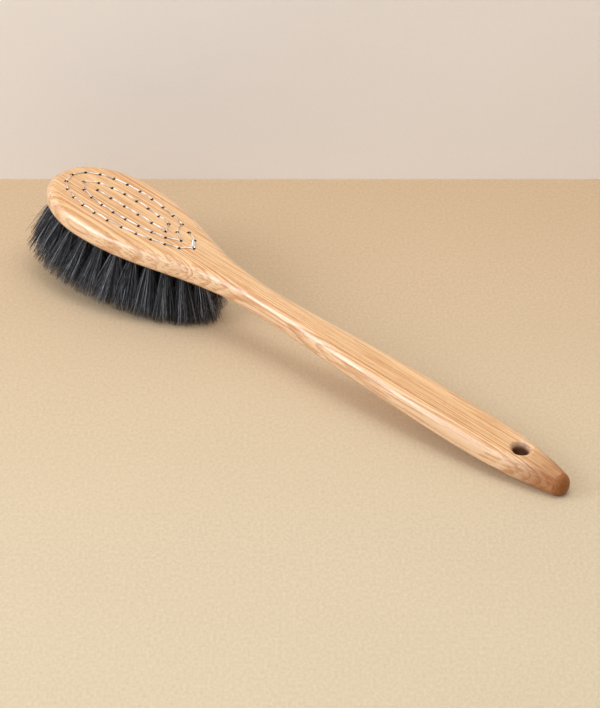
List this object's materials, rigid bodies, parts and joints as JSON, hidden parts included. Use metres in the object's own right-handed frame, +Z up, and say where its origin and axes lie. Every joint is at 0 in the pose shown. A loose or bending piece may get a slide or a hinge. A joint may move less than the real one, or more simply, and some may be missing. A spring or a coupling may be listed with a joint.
{
  "type": "body brush",
  "caption": "Long-handled oak body brush with fanned black horsehair tufts, hand-drawn on a wire stitched along the top, and a hanging hole.",
  "frame": {"origin": "on the table, under the middle of the whole brush's footprint, with the brush resting on its handle's end and on the tufts nearest the neck", "axes": "+X towards the handle's end, +Z up; the brush's plane of symmetry is the XZ plane and its flat top slopes down towards +X"},
  "size_m": [0.4318, 0.079, 0.061],
  "materials": {
    "oak": "oiled oak with open straight grain",
    "horsehair": "stiff black horsehair with a cool sheen",
    "wire": "bright drawn steel wire"
  },
  "bodies": {
    "root": {"oak_body": "oak", "tuft_outer_01": "horsehair", "tuft_outer_02": "horsehair", "tuft_outer_03": "horsehair", "tuft_outer_04": "horsehair", "tuft_outer_05": "horsehair", "tuft_outer_06": "horsehair", "tuft_outer_07": "horsehair", "tuft_outer_08": "horsehair", "tuft_outer_09": "horsehair", "tuft_outer_10": "horsehair", "tuft_outer_11": "horsehair", "tuft_outer_12": "horsehair", "tuft_outer_13": "horsehair", "tuft_outer_14": "horsehair", "tuft_outer_15": "horsehair", "tuft_outer_16": "horsehair", "tuft_outer_17": "horsehair", "tuft_outer_18": "horsehair", "tuft_outer_19": "horsehair", "tuft_outer_20": "horsehair", "tuft_outer_21": "horsehair", "tuft_outer_22": "horsehair", "tuft_outer_23": "horsehair", "tuft_outer_24": "horsehair", "tuft_middle_01": "horsehair", "tuft_middle_02": "horsehair", "tuft_middle_03": "horsehair", "tuft_middle_04": "horsehair", "tuft_middle_05": "horsehair", "tuft_middle_06": "horsehair", "tuft_middle_07": "horsehair", "tuft_middle_08": "horsehair", "tuft_middle_09": "horsehair", "tuft_middle_10": "horsehair", "tuft_middle_11": "horsehair", "tuft_middle_12": "horsehair", "tuft_middle_13": "horsehair", "tuft_middle_14": "horsehair", "tuft_middle_15": "horsehair", "tuft_middle_16": "horsehair", "tuft_middle_17": "horsehair", "tuft_middle_18": "horsehair", "tuft_centre_01": "horsehair", "tuft_centre_02": "horsehair", "tuft_centre_03": "horsehair", "tuft_centre_04": "horsehair", "tuft_centre_05": "horsehair", "tuft_centre_06": "horsehair", "drawing_wire": "wire", "wire_tie": "wire"}
  },
  "joints": []
}
